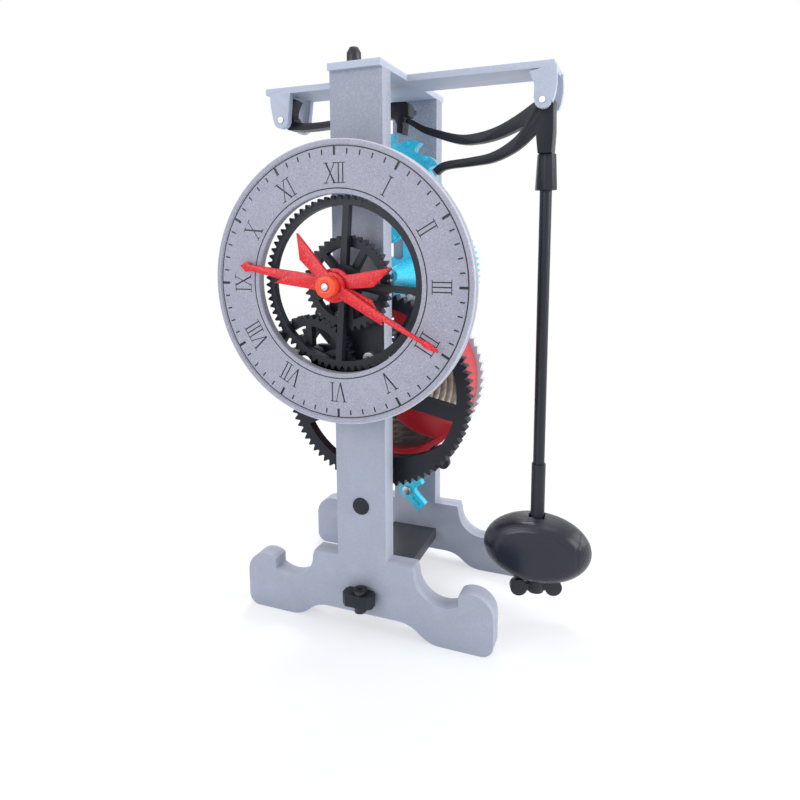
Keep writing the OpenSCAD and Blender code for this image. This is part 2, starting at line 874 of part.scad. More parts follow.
module escape_wheel() {
  color([0.15, 0.72, 0.92]) difference() {
    union() {
      plate(escape_front, escape_t) translate([0, escape_z]) difference() {
        polygon([for (i = [0 : escape_n - 1], k = [0 : 9]) escape_tooth(tooth_lead - 30 * i)[k]]);
        windows(12.6, 5, 4, 4.5, 40);
      }
      for (i = [0 : escape_n - 1]) {
        a = tooth_lead + pin_lead + 30 * i;
        shaft(impulse_r * cos(a), escape_z + impulse_r * sin(a), escape_front - 3, 4, impulse_pin_r);
      }
      shaft(0, escape_z, escape_front - 2, escape_t + 5, 3);
    }
    shaft(0, escape_z, escape_front - 4, 20, escape_arbor_r);
  }
}

module escape_pinion() {
  color([0.12, 0.12, 0.14]) difference() {
    union() {
      plate(centre_front - 0.4, centre_t + 0.8) translate([0, escape_z])
        gear(pinion_n, fine_module, escape_pinion_phase);
      shaft(0, escape_z, centre_front - 6, 6, 3.2);
    }
    shaft(0, escape_z, centre_front - 7, 20, escape_arbor_r);
  }
}

// ---------- motion work and hands ----------

// width of the thin spokes in the motion work
wheel_spoke = 2.1;

module minute_wheel() {
  color([0.12, 0.12, 0.14]) difference() {
    union() {
      plate(minute_front, minute_t) translate([0, centre_z]) difference() {
        gear(idler_n, fine_module, minute_phase);
        windows(11.6, 5, 5, wheel_spoke, 60);
      }
      shaft(0, centre_z, minute_hand_front, minute_front - minute_hand_front + 1, minute_tube_r);
    }
    shaft(0, centre_z, -30, 40, centre_r + run_gap);
  }
}

module hour_wheel() {
  color([0.12, 0.12, 0.14]) difference() {
    union() {
      plate(hour_front, hour_t) translate([0, centre_z]) difference() {
        gear(hour_n, fine_module, hour_phase);
        windows(24.5, 6.2, 4, wheel_spoke, -4);
      }
      shaft(0, centre_z, hour_hand_front, hour_front - hour_hand_front + 1, hour_tube_r);
    }
    shaft(0, centre_z, -30, 40, minute_tube_r + run_gap);
  }
}

module idler_wheel() {
  color([0.12, 0.12, 0.14]) difference() {
    union() {
      plate(minute_front, minute_t) translate([idler_x, idler_z]) difference() {
        gear(idler_n, fine_module, idler_phase);
        windows(11.6, 5, 5, wheel_spoke, 20);
      }
      plate(hour_front, minute_front - hour_front + 1) translate([idler_x, idler_z])
        gear(idler_pinion_n, fine_module, idler_pinion_phase);
    }
    shaft(idler_x, idler_z, -30, 40, arbor_r + run_gap);
  }
}

// swallow-tail counterweight of a hand, pointing along -X: two blades that grow from the hub
module tail(hub) {
  polygon([[1, hub - 1], polar(hub - 0.2, 131), polar(19.6, 153.5), polar(13, 171.3), [-5.5, 0],
           polar(13, -171.3), polar(19.6, -153.5), polar(hub - 0.2, -131), [1, 1 - hub]]);
}

module hour_hand() {
  color([0.88, 0.2, 0.24]) plate(hour_hand_front, hand_t) translate([0, centre_z]) rotate(hour_angle) difference() {
    union() {
      circle(5.3);
      tail(5.3);
      polygon([[-1, -2], [8, -2.1], [20, -1.5], [30.2, -0.95], [31.6, -1.7], [34, 0], [31.6, 1.7],
               [30.2, 0.95], [20, 1.5], [8, 2.1], [-1, 2]]);
    }
    circle(hour_tube_r);
  }
}

module minute_hand() {
  color([0.88, 0.2, 0.24]) plate(minute_hand_front, hand_t) translate([0, centre_z]) rotate(minute_angle) difference() {
    union() {
      circle(4.3);
      tail(4.3);
      polygon([[-1, -1.6], [7, -1.6], [18, -0.9], [33, -0.5], [34.4, -1.05], [37.8, -0.5], [38.7, 0],
               [37.8, 0.5], [34.4, 1.05], [33, 0.5], [18, 0.9], [7, 1.6], [-1, 1.6]]);
    }
    circle(minute_tube_r);
  }
}

// ---------- detent ----------

claw_r = escape_tip_r + claw_gap;

module detent() {
  color([0.12, 0.12, 0.14]) difference() {
    union() {
      plate(28, 6) difference() {
        union() {
          band([[-38.6, 190, 1.1], [-40.2, 187.4, 1.3], [-41.2, 184.5, 1.6], [-41, 181.5, 2.2]]);
          translate([detent_x, detent_z]) circle(2.6);
          band([[-41, 180.4, 1.6], [-34, 179.6, 1.3], [-26, 179.7, 1.1], [-16, 180.6, 1.2],
                [-7, 182.1, 1.8], [0, 182.9, 2.5], [4, 182.9, 2.5]]);
          translate([1, 180.4]) square([5.3, 5]);
          translate([5.7, 180.4]) square([1.9, 3.5]);
          translate([6.1, 183.9]) circle(1.5);
          polygon([[0.5, 180.6], [2.4, 179.6], [3.2, 178], [3.3, 174], [5.2, 174], [5.9, 180.6]]);
        }
        translate([0, escape_z]) circle(claw_r);
      }
      shaft(4.6, 178.8, 27.3, 1, 1.3);
    }
    shaft(detent_x, detent_z, 20, 30, pin_r + run_gap);
  }
}

// ---------- pendulum ----------

head_front = 25.8;
head_back = 34.2;
impulse_back = escape_front - 0.25;

module pendulum_head() {
  color([0.12, 0.12, 0.14]) difference() {
    union() {
      plate(escape_front, head_back - escape_front - 1) {
        band([[7.2, 178.95, 0.9], [10.5, 177, 1], [14.4, 175, 1.2], [25.4, 171.6, 1.5], [32.5, 171.5, 1.7],
              [39.4, 173, 1.9], [46.1, 175.9, 2.2], [53, 179.6, 2.8]]);
        translate([7.2, 178.95]) circle(0.9);
      }
      plate(head_front, impulse_back - head_front) difference() {
        band([[18.2, 160.4, 1.2], [21.8, 162.5, 1.3], [31.2, 163.4, 1.4], [38.4, 164.5, 1.6],
              [45, 167.6, 1.9], [49.6, 171.6, 2.2], [54, 177.6, 2.8]]);
        translate([0, escape_z]) circle(impulse_r + impulse_pin_r + 0.3);
      }
      plate(head_front, head_back - head_front) {
        translate([swing_x, swing_z]) circle(3);
        polygon([[51.9, 181.2], [57.8, 181.2], [58, 172], [57.6, 165], [53.2, 165], [52.4, 172],
                 [50.4, 176.6]]);
      }
    }
    shaft(swing_x, swing_z, 20, 30, pin_r + run_gap);
  }
}

collar_top = 165;
collar_low = 153.2;

// the eight-sided collar that grips the rod
module rod_collar() {
  color([0.12, 0.12, 0.14]) difference() {
    translate([rod_x - mid_x, bob_mid - mid_y - 2, collar_low])
      cylinder(h = collar_top - collar_low, r1 = 3.7, r2 = 3.15, $fn = 8);
    post(rod_x, bob_mid - 2, collar_low - 1, collar_top - collar_low - 1, rod_r);
  }
}

sleeve_low = 35.2;
sleeve_top = 58.5;
sleeve_r = 2.45;

module pendulum_rod() {
  color([0.16, 0.16, 0.18]) post(rod_x, bob_mid - 2, sleeve_top - 10, collar_top - 2 - sleeve_top + 10, rod_r);
}

module rod_sleeve() {
  color([0.12, 0.12, 0.14]) difference() {
    post(rod_x, bob_mid - 2, sleeve_low, sleeve_top - sleeve_low, sleeve_r);
    post(rod_x, bob_mid - 2, sleeve_top - 10, 11, rod_r);
    post(rod_x, bob_mid - 2, sleeve_low - 1, 9, screw_r);
  }
}

nut_low = 10.6;

module rating_screw() {
  color([0.75, 0.76, 0.79]) post(rod_x, bob_mid - 2, nut_low + 0.3, sleeve_low + 8 - nut_low - 0.3, screw_r);
}

bob_z = 27.4;
bob_seam = 70.8;
pocket_floor = 31.5;
pocket_half = 2.7;
weight_r = 4.6;
face_share = 0.63;

// the whole bob's skin: a flat-faced lens, wider than it is high
module bob_lens() {
  translate([rod_x - mid_x, bob_mid - 2 - mid_y, bob_z]) rotate([90, 0, 0]) hull() {
    for (a = [2, 15, 30, 45, 60, 75, 90]) {
      share = face_share + (1 - face_share) * cos(a);
      linear_extrude(2 * bob_half_t * sin(a), center = true)
        scale([bob_half_w * share, bob_half_h * share]) circle(1, $fn = 72);
    }
  }
}

module bob_body() {
  color([0.16, 0.16, 0.19]) difference() {
    bob_lens();
    block(bob_seam, 0, 0, [30, 80, 60]);
    post(rod_x, bob_mid - 2, 0, 60, screw_r + run_gap);
    block(rod_x - pocket_half, bob_mid - 2 - pocket_half, pocket_floor, [2 * pocket_half, 2 * pocket_half, 20]);
    translate([60 - mid_x, bob_mid - 2 - mid_y, bob_z - 2]) rotate([0, 90, 0])
      cylinder(h = 20, r = weight_r);
  }
}

module bob_end() {
  color([0.16, 0.16, 0.19]) difference() {
    bob_lens();
    block(0, 0, 0, [bob_seam, 80, 60]);
  }
}

module bob_weight() {
  color([0.6, 0.6, 0.62]) translate([60 - mid_x, bob_mid - 2 - mid_y, bob_z - 2]) rotate([0, 90, 0])
    cylinder(h = bob_seam - 60, r = weight_r);
}

nut_top = bob_z - bob_half_h - 0.1;

nut_turn = 20;

module rating_nut() {
  color([0.12, 0.12, 0.14]) difference() {
    union() {
      post(rod_x, bob_mid - 2, nut_low, nut_top - nut_low, 2.9);
      translate([rod_x - mid_x, bob_mid - 2 - mid_y, 0]) rotate(nut_turn) rotate([90, 0, 0])
        linear_extrude(3, center = true) {
          for (s = [-1, 1]) {
            translate([s * 6.2, 12.15]) circle(3.05);
          }
          translate([-5, 11.2]) square([10, 2.6]);
        }
    }
    post(rod_x, bob_mid - 2, nut_low - 5, 20, screw_r + run_gap);
  }
}

front_frame();
rear_frame();
top_bridge();
top_screws();
base_tie();
tie_rod();
wing_knobs();
knob_screws();
column_plug();
bushes();
dial_ring();
dial_posts();
motion_bracket();
bracket_screws();
idler_stud();
detent_pin();
pendulum_pin();
click_pin();
great_wheel();
spring_drum();
mainspring();
motion_pinion();
winding_arbor();
spring_core();
ratchet_wheel();
winding_knob();
click();
centre_arbor();
centre_wheel();
centre_pinion();
hand_cap();
escape_arbor();
escape_wheel();
escape_pinion();
minute_wheel();
minute_hand();
hour_wheel();
hour_hand();
idler_wheel();
detent();
pendulum_head();
rod_collar();
pendulum_rod();
rod_sleeve();
rating_screw();
bob_body();
bob_end();
bob_weight();
rating_nut();
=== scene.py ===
# %% [markdown]
# # Dressing a geared teaching clock
#
# The clock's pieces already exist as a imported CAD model. This lesson loads them and gives
# each one the look of the real thing: three-dimensional prints in grey, black, red and sky
# blue, with steel pins and a bronze spring. The clock keeps its size throughout. Blender
# counts in metres, so every length in millimetres is multiplied by MM.

import json
import math

import bmesh
import bpy
from mathutils import Matrix, Vector

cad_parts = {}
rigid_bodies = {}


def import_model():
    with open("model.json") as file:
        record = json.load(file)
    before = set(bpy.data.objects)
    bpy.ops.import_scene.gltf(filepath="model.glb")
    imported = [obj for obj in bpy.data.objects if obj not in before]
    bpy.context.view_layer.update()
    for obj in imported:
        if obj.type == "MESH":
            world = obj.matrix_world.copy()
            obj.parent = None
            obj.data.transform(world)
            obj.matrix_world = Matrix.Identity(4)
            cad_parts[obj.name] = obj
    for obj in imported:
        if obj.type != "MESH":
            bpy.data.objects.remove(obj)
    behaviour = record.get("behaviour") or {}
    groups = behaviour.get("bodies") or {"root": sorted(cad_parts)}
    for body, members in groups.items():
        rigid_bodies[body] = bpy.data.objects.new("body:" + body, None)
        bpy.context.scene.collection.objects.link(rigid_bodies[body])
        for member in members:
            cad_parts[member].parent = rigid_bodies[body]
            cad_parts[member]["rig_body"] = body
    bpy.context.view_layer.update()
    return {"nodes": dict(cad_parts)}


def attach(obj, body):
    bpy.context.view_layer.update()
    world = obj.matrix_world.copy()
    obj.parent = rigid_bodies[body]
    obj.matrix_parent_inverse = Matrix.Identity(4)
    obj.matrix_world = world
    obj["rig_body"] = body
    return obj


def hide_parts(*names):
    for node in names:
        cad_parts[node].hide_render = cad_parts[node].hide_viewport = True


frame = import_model()
nodes = frame["nodes"]
MM = 0.001
print("pieces:", len(nodes))

# %% [markdown]
# The drawing of the clock measures across from the middle of its columns and back from the
# front frame's face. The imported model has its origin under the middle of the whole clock.
# One small function turns the first kind of position into the second, so that every number
# below can be read straight from the drawing.

# %% Positions as they are on the drawing
MIDDLE_X = 13.725
MIDDLE_Y = 23.75
CENTRE_Z = 123.79


def place(x, depth, z):
    """A point given across, back and up on the drawing, in metres in the model."""
    return Vector((x - MIDDLE_X, depth - MIDDLE_Y, z)) * MM


print("centre arbor at", place(0, 0, CENTRE_Z))

# %% [markdown]
# A camera is a point, a direction and a lens. They could be tried by eye, but measuring the
# photograph's straight edges and circles gives all three at once: the camera stood a quarter
# of a metre away, to the right of the clock and a little above the dial's middle, and looked
# slightly down. The picture isn't cropped round its middle, and a small lens shift repeats
# that.

# %% The camera
CAMERA_TURN = math.radians(22.51)
CAMERA_RISE = math.radians(8.11)
CAMERA_ROLL = math.radians(-0.5)
CAMERA_SPOT = place(89.917, -199.022, 139.024)
FOCAL_PIXELS = 661.17
PICTURE = 800
PICTURE_CENTRE = (379.24, 328.98)
SENSOR = 36
NEAREST_SEEN = 0.01

camera_data = bpy.data.cameras.new("camera")
camera = bpy.data.objects.new("camera", camera_data)
bpy.context.scene.collection.objects.link(camera)
bpy.context.scene.camera = camera
backwards = Vector((
    math.sin(CAMERA_TURN) * math.cos(CAMERA_RISE),
    -math.cos(CAMERA_TURN) * math.cos(CAMERA_RISE),
    math.sin(CAMERA_RISE),
))
level = Vector((math.cos(CAMERA_TURN), math.sin(CAMERA_TURN), 0))
upwards = backwards.cross(level)
right = level * math.cos(CAMERA_ROLL) + upwards * math.sin(CAMERA_ROLL)
up = upwards * math.cos(CAMERA_ROLL) - level * math.sin(CAMERA_ROLL)
camera_axes = Matrix((right, up, backwards)).transposed().to_4x4()
camera.matrix_world = Matrix.Translation(CAMERA_SPOT) @ camera_axes
camera_data.sensor_width = SENSOR
camera_data.lens = SENSOR * FOCAL_PIXELS / PICTURE
camera_data.shift_x = (PICTURE / 2 - PICTURE_CENTRE[0]) / PICTURE
camera_data.shift_y = (PICTURE_CENTRE[1] - PICTURE / 2) / PICTURE
camera_data.clip_start = NEAREST_SEEN
print("lens", round(camera_data.lens, 2), "mm")

# %% [markdown]
# A material's pattern is arithmetic on positions. Written as nodes and links it is long and
# hard to read. So a small class wraps a node's output, and Python's own signs then add the
# maths nodes: 1 - mask becomes a Math node that subtracts.

# %% Sums on nodes
class Wire:
    """A node's output, to be used in sums."""

    def __init__(self, maker, socket):
        self.maker = maker
        self.socket = socket

    def __add__(self, other):
        return self.maker.maths("ADD", self, other)

    def __radd__(self, other):
        return self.maker.maths("ADD", other, self)

    def __sub__(self, other):
        return self.maker.maths("SUBTRACT", self, other)

    def __rsub__(self, other):
        return self.maker.maths("SUBTRACT", other, self)

    def __mul__(self, other):
        return self.maker.maths("MULTIPLY", self, other)

    def __rmul__(self, other):
        return self.maker.maths("MULTIPLY", other, self)

    def __gt__(self, other):
        return self.maker.maths("GREATER_THAN", self, other)

    def __lt__(self, other):
        return self.maker.maths("LESS_THAN", self, other)


print("a wire knows + - * > <")

# %% [markdown]
# A second class makes the nodes. Any node comes from one call, with its type, its settings
# and what goes into its sockets. It serves the materials and, further down, the world too.
# A Mix node keeps sockets for numbers, vectors and colours side by side, so the colour ones
# are picked by their place in the row.

# %% Making nodes
MIX_FACTOR = 0
MIX_FIRST = 6
MIX_SECOND = 7
MIX_RESULT = 2


class NodeMaker:
    """Makes and links the nodes of one node tree."""

    def __init__(self, tree):
        self.tree = tree

    def put(self, socket, value):
        """Links a wire to a socket, or sets the socket's own value."""
        if isinstance(value, Wire):
            self.tree.links.new(value.socket, socket)
        elif isinstance(value, tuple) and socket.type == "RGBA":
            socket.default_value = (*value, 1)
        else:
            socket.default_value = value

    def node(self, kind, settings=None, sockets=None, output=0):
        """Any node: its settings are set first, then its sockets."""
        made = self.tree.nodes.new(kind)
        for key, value in (settings or {}).items():
            setattr(made, key, value)
        for key, value in (sockets or {}).items():
            self.put(made.inputs[key], value)
        return Wire(self, made.outputs[output])

    def maths(self, operation, *values):
        """A Math node on one, two or three values."""
        return self.node("ShaderNodeMath", {"operation": operation}, dict(enumerate(values)))

    def mix(self, factor, first, second):
        """A colour between two colours."""
        colours = {MIX_FACTOR: factor, MIX_FIRST: first, MIX_SECOND: second}
        return self.node("ShaderNodeMix", {"data_type": "RGBA"}, colours, MIX_RESULT)

    def parts(self, vector):
        """The three numbers of a vector."""
        split = self.tree.nodes.new("ShaderNodeSeparateXYZ")
        self.put(split.inputs[0], vector)
        return [Wire(self, output) for output in split.outputs]

    def any_ray(self, *kinds):
        """1 for light rays of the named kinds, 0 for all others."""
        found = self.node("ShaderNodeLightPath", output=kinds[0])
        for kind in kinds[1:]:
            found = self.maths("MAXIMUM", found, self.node("ShaderNodeLightPath", output=kind))
        return found


print("node maker ready")

# %% [markdown]
# Each finish is one material: a Principled shader and the patterns that feed it. All the
# patterns are worked out from the place on the piece in millimetres, so a grain has its real
# size on every piece. The rounded edges can be found too, without painting them by hand. On
# a flat face the surface looks straight along the shape's axis or straight across it. Only
# on a rounded edge does it look somewhere in between.

# %% A finish and its patterns
AXIS = {"x": 0, "y": 1, "z": 2}
LAYER = 0.28


class Finish(NodeMaker):
    """One material, with its Principled shader and the patterns that feed it."""

    def __init__(self, name, roughness, metallic=0.0, specular=0.5):
        self.material = bpy.data.materials.new(name)
        self.material.use_nodes = True
        super().__init__(self.material.node_tree)
        self.shader = self.tree.nodes["Principled BSDF"]
        self.give("Roughness", roughness)
        self.give("Metallic", metallic)
        self.give("Specular IOR Level", specular)

    def give(self, name, value):
        """Feeds one of the shader's own inputs."""
        self.put(self.shader.inputs[name], value)

    def spot(self):
        """The place on the piece in millimetres, as one vector."""
        metres = self.node("ShaderNodeTexCoord", output="Object")
        sockets = {"Vector": metres, "Scale": 1 / MM}
        return self.node("ShaderNodeVectorMath", {"operation": "SCALE"}, sockets)

    def edge(self, axis):
        """1 on the rounded edges of a shape that is straight along an axis, 0 on its faces."""
        facing = self.node("ShaderNodeTexCoord", output="Normal")
        along = self.maths("ABSOLUTE", self.parts(facing)[AXIS[axis]])
        return along * (1 - along) * 4

    def noise(self, vector, size, detail=2.0, roughness=0.5):
        """Smooth noise from 0 to 1 with features of about size millimetres."""
        sockets = {"Vector": vector, "Scale": 1 / size, "Detail": detail, "Roughness": roughness}
        return self.node("ShaderNodeTexNoise", None, sockets)

    def cells(self, vector, size, output="Distance"):
        """A Voronoi pattern with cells of about size millimetres, as distances or colours."""
        sockets = {"Vector": vector, "Scale": 1 / size}
        return self.node("ShaderNodeTexVoronoi", None, sockets, output)

    def layers(self, height):
        """One ridge from 0 to 1 for each printed layer."""
        return self.maths("SINE", height * (2 * math.pi / LAYER)) * 0.5 + 0.5

    def bump(self, height, depth, under=None):
        """A bump of a depth in millimetres, on heights from 0 to 1."""
        sockets = {"Height": height, "Distance": depth * MM}
        if under is not None:
            sockets["Normal"] = under
        return self.node("ShaderNodeBump", None, sockets)


print("a printed layer is", LAYER, "mm")

# %% [markdown]
# Many of the finishes need a colour that is a little darker or lighter than another. That is
# the same all over the piece, so it is worked out in Python and costs no nodes.

# %% Darker and lighter colours
def shade(colour, share, lift=0.0):
    """A colour multiplied by a share, then raised."""
    return tuple(min(1.0, part * share + lift) for part in colour)


print("half of white is", shade((1, 1, 1), 0.5))

# %% [markdown]
# Every grey, black, red and blue piece here came off a printer that lays down plastic in
# thin layers. Three marks give that away. The side walls carry fine lines, one for each
# layer, with painted shade in each line's groove. The faces that lay on the printing plate
# are finely pebbled. And the colour is never quite even, because the melted plastic flows.
# The corners are also a little paler, from handling and from a painted highlight on the
# rounded edges. A picture of such a wall could be wrapped round each piece, but it would
# stretch and show seams. One function makes all the prints from positions instead: it takes
# the colour, how glossy the plastic is and the direction in which the layers were stacked.
#
# The frames are rougher towards the top, and painted shade darkens them there. So a print can
# be given a height above which its grain coarsens and painted shade sets in, and the share of
# each colour that this painted shade leaves.

# %% Printed plastic
LAYER_DRIFT = 0.25
DRIFT_SIZE = 9.0
CLOUD_SIZE = 7.0
PEBBLE_SIZE = 0.62
SPECK_SHARE = 0.6
SPECK_CONTRAST = 1.7
COARSE_CONTRAST = 2.6
COARSE_AND_SHADE_RISE = 50.0
TOP_SHADE_SHARE = 0.75
TOP_SHADE_LOST_IN_SPECKS = 0.5
WORN_AND_HIGHLIGHT_SHARE = 1.45
WORN_AND_HIGHLIGHT_LIFT = 0.012
LAYER_GROOVE_SHADE_SHARE = 0.35
LAYER_GROOVE_SHADE_DARKER = 1.5
GLOSS_SPREAD = 0.3


def printed(name, colour, roughness, stacked="y", ridge_depth=0.014, pebble_depth=0.02, vary=0.1,
            specular=0.5, coarse_and_shaded_above=None, painted_top_shade=None, wear_and_highlight=0.35):
    """Plastic printed in layers along an axis, pebbled where it lay on the plate."""
    finish = Finish(name, roughness, specular=specular)
    spot = finish.spot()
    drift = finish.noise(spot, DRIFT_SIZE) * LAYER_DRIFT
    ridge = finish.layers(finish.parts(spot)[AXIS[stacked]] + drift)
    cloud = finish.noise(spot, CLOUD_SIZE, detail=3.0)
    pebble = finish.noise(spot, PEBBLE_SIZE, detail=2.0, roughness=0.6)
    contrast = SPECK_CONTRAST
    if coarse_and_shaded_above is not None:
        rise = (finish.parts(spot)[AXIS["z"]] - coarse_and_shaded_above) * (1 / COARSE_AND_SHADE_RISE)
        coarse_and_shaded = finish.maths("MINIMUM", finish.maths("MAXIMUM", rise, 0.0), 1.0)
        contrast = coarse_and_shaded * COARSE_CONTRAST + SPECK_CONTRAST
    speck = finish.maths("MULTIPLY_ADD", pebble - 0.5, contrast, 0.5)
    flow = cloud * (1 - SPECK_SHARE) + speck * SPECK_SHARE
    body = finish.mix(flow, shade(colour, 1 - vary), shade(colour, 1 + vary))
    # Painted shade: above that height the colour darkens, less so in the specks.
    if coarse_and_shaded_above is not None:
        painted_top_shade_colour = tuple(part * share for part, share in zip(colour, painted_top_shade))
        body = finish.mix(coarse_and_shaded * (TOP_SHADE_SHARE - speck * TOP_SHADE_LOST_IN_SPECKS), body, painted_top_shade_colour)
    # The rounded edges are made paler: partly wear, partly a painted highlight.
    body = finish.mix(finish.edge(stacked) * wear_and_highlight, body, shade(colour, WORN_AND_HIGHLIGHT_SHARE, WORN_AND_HIGHLIGHT_LIFT))
    # Painted shade: the groove of each layer line is coloured darker.
    layer_groove_shade = shade(colour, 1 - vary * LAYER_GROOVE_SHADE_DARKER)
    finish.give("Base Color", finish.mix((1 - ridge) * LAYER_GROOVE_SHADE_SHARE, body, layer_groove_shade))
    finish.give("Roughness", (pebble - 0.5) * GLOSS_SPREAD + roughness)
    pebbles = finish.bump(pebble, pebble_depth)
    finish.give("Normal", finish.bump(ridge, ridge_depth, under=pebbles))
    return finish


print("prints can be made")

# %% [markdown]
# Now the prints themselves. The front and rear frame are the same grey plastic, but the rear
# one stands in the front one's shade, so it gets a finish of its own, with painted shade and
# coarser grain over most of its height. The front frame gets painted shade only near its top.
# The bridge, the tie at the base and the pendulum's rod, with its collar, sleeve and nut, carry
# layers stacked upwards (z). All the others were printed lying on their faces, so their
# layers are stacked from front to back (y). The bob is glossier than the rest.

# %% The prints of the clock
FRAME_GREY = (0.352, 0.378, 0.46)
BRIDGE_GREY = (0.45, 0.49, 0.59)
BLACK = (0.012, 0.014, 0.023)
BLACK_WITH_PAINTED_REFLECTION = (0.055, 0.057, 0.066)
BOB_BLACK = (0.015, 0.016, 0.028)
SKY_BLUE = (0.06, 0.68, 0.98)
DRUM_RED = (0.58, 0.012, 0.025)
PALE_GREY = (0.66, 0.70, 0.73)
ORANGE_RED = (0.84, 0.065, 0.015)

# Both frames are darkened towards the top by painted shade, the rear one from lower down.
frame_print = printed(
    "frame grey print", FRAME_GREY, roughness=0.5, pebble_depth=0.07, vary=0.16,
    coarse_and_shaded_above=95.0, painted_top_shade=(0.8, 0.74, 0.76), wear_and_highlight=0.6)
rear_print = printed(
    "rear frame grey print", FRAME_GREY, roughness=0.5, pebble_depth=0.06, vary=0.16,
    coarse_and_shaded_above=35.0, painted_top_shade=(0.62, 0.65, 0.68), wear_and_highlight=0.6)
bridge_print = printed(
    "bridge grey print", BRIDGE_GREY, roughness=0.5, stacked="z", pebble_depth=0.05, vary=0.14)
# The tie's black is lightened as a painted reflection of light grazing its top.
tie_print = printed(
    "black print with painted reflection", BLACK_WITH_PAINTED_REFLECTION, roughness=0.5, stacked="z", vary=0.3)
black_print = printed(
    "black print", BLACK, roughness=0.4, ridge_depth=0.02, vary=0.3, specular=0.3)
upright_black = printed(
    "black print stacked upwards", BLACK, roughness=0.34, stacked="z", ridge_depth=0.02, vary=0.3,
    specular=0.4)
bob_print = printed(
    "bob black print", BOB_BLACK, roughness=0.2, ridge_depth=0.035, vary=0.3, specular=0.45,
    wear_and_highlight=0.0)
cyan_print = printed("sky blue print", SKY_BLUE, roughness=0.28, vary=0.12)
drum_print = printed("red print", DRUM_RED, roughness=0.36, vary=0.2)
ratchet_print = printed("pale grey print", PALE_GREY, roughness=0.42, vary=0.08)
cap_print = printed("orange red print", ORANGE_RED, roughness=0.3, vary=0.12)
print("nodes in the frame's print:", len(frame_print.tree.nodes))

# %% [markdown]
# The dial is printed in a grey plastic that is mottled, with dark grains like those in stone
# and fewer pale ones. Its lines and numerals are engraved, and the shade in them is painted
# in black. That painted shade could be a layer of thin pieces of its own, but it sits in the
# grooves, so the material can find it by depth: on the dial's band, whatever lies further
# back than half a groove gets painted shade. The rounded edges get a painted highlight.

# %% Speckled dial with painted shade in its grooves
DIAL_FRONT = -16.2
GROOVE = 0.3
BAND_FROM = 28.7
BAND_TO = 42.15
DIAL_DARK = (0.21, 0.212, 0.265)
DIAL_LIGHT = (0.435, 0.435, 0.52)
DARK_GRAIN = (0.12, 0.12, 0.15)
PALE_GRAIN = (0.66, 0.66, 0.72)
DIAL_EDGE_HIGHLIGHT = (0.66, 0.66, 0.74)
GROOVE_SHADE_COLOUR = (0.012, 0.012, 0.014)
DARK_GRAIN_SIZE = 0.9
DARK_GRAIN_REACH = 0.16
DARK_GRAIN_SHARE = 0.55
PALE_GRAIN_SIZE = 1.3
PALE_GRAIN_REACH = 0.12
PALE_GRAIN_SHARE = 0.5
EDGE_HIGHLIGHT_SHARE = 0.6
MOTTLE_SHARE = 0.65
MOTTLE_CONTRAST = 2.2
MOTTLE_DEPTH = 0.06
DIAL_ROUGHNESS = 0.52
GROOVE_SHADE_ROUGHNESS = 0.35
GROOVE_SHADE_FROM = GROOVE * 0.5
GROOVE_SHADE_TO = GROOVE * 1.3


def speckled_dial():
    """Grey speckled plastic, with black painted shade wherever the surface lies in a groove."""
    finish = Finish("speckled dial print", DIAL_ROUGHNESS)
    spot = finish.spot()
    across, back, height = finish.parts(spot)
    cloud = finish.noise(spot, size=3.5, detail=4.0, roughness=0.65)
    fine = finish.noise(spot, size=0.5, detail=3.0, roughness=0.6)
    mottle = finish.maths("MULTIPLY_ADD", fine - 0.5, MOTTLE_CONTRAST, 0.5)
    tone = cloud * (1 - MOTTLE_SHARE) + mottle * MOTTLE_SHARE
    body = finish.mix(tone, DIAL_DARK, DIAL_LIGHT)
    dark_grains = finish.cells(spot, DARK_GRAIN_SIZE) < DARK_GRAIN_REACH
    body = finish.mix(dark_grains * DARK_GRAIN_SHARE, body, DARK_GRAIN)
    pale_grains = finish.cells(spot, PALE_GRAIN_SIZE) < PALE_GRAIN_REACH
    body = finish.mix(pale_grains * PALE_GRAIN_SHARE, body, PALE_GRAIN)
    # Painted highlight: the dial's rounded edges are coloured paler.
    body = finish.mix(finish.edge("y") * EDGE_HIGHLIGHT_SHARE, body, DIAL_EDGE_HIGHLIGHT)
    from_middle = across + MIDDLE_X
    from_axis = height - CENTRE_Z
    radius = finish.maths("SQRT", from_middle * from_middle + from_axis * from_axis)
    on_band = (radius > BAND_FROM) * (radius < BAND_TO)
    depth = back - (DIAL_FRONT - MIDDLE_Y)
    # Painted shade: on the band, everything deeper than half a groove is coloured black.
    painted_shade = on_band * (depth > GROOVE_SHADE_FROM) * (depth < GROOVE_SHADE_TO)
    finish.give("Base Color", finish.mix(painted_shade, body, GROOVE_SHADE_COLOUR))
    finish.give("Roughness", painted_shade * (GROOVE_SHADE_ROUGHNESS - DIAL_ROUGHNESS) + DIAL_ROUGHNESS)
    finish.give("Normal", finish.bump(fine, MOTTLE_DEPTH))
    return finish


dial_print = speckled_dial()
print("dial painted between radius", BAND_FROM, "and", BAND_TO)

# %% [markdown]
# The hands are printed in a red plastic full of tiny flakes that catch the light. Thousands
# of real flakes would be slow, so each cell of a Voronoi pattern stands for one. A few cells,
# picked by their random colour, are brighter and a little metallic, and each has its own
# height in the bump, which tilts its borders and makes it sparkle.

# %% Sparkling red hands
FLAKE = 0.32
FLAKE_DEPTH = 0.02
FLAKE_SHARE = 0.4
FLAKE_METAL = 0.2
FLAKE_ROUGHENS = 0.22
DULL_CELLS = 0.86
LAYER_DEPTH = 0.012
HAND_ROUGHNESS = 0.18
HAND_RED = (0.74, 0.016, 0.026)
FLAKE_RED = (0.95, 0.14, 0.14)


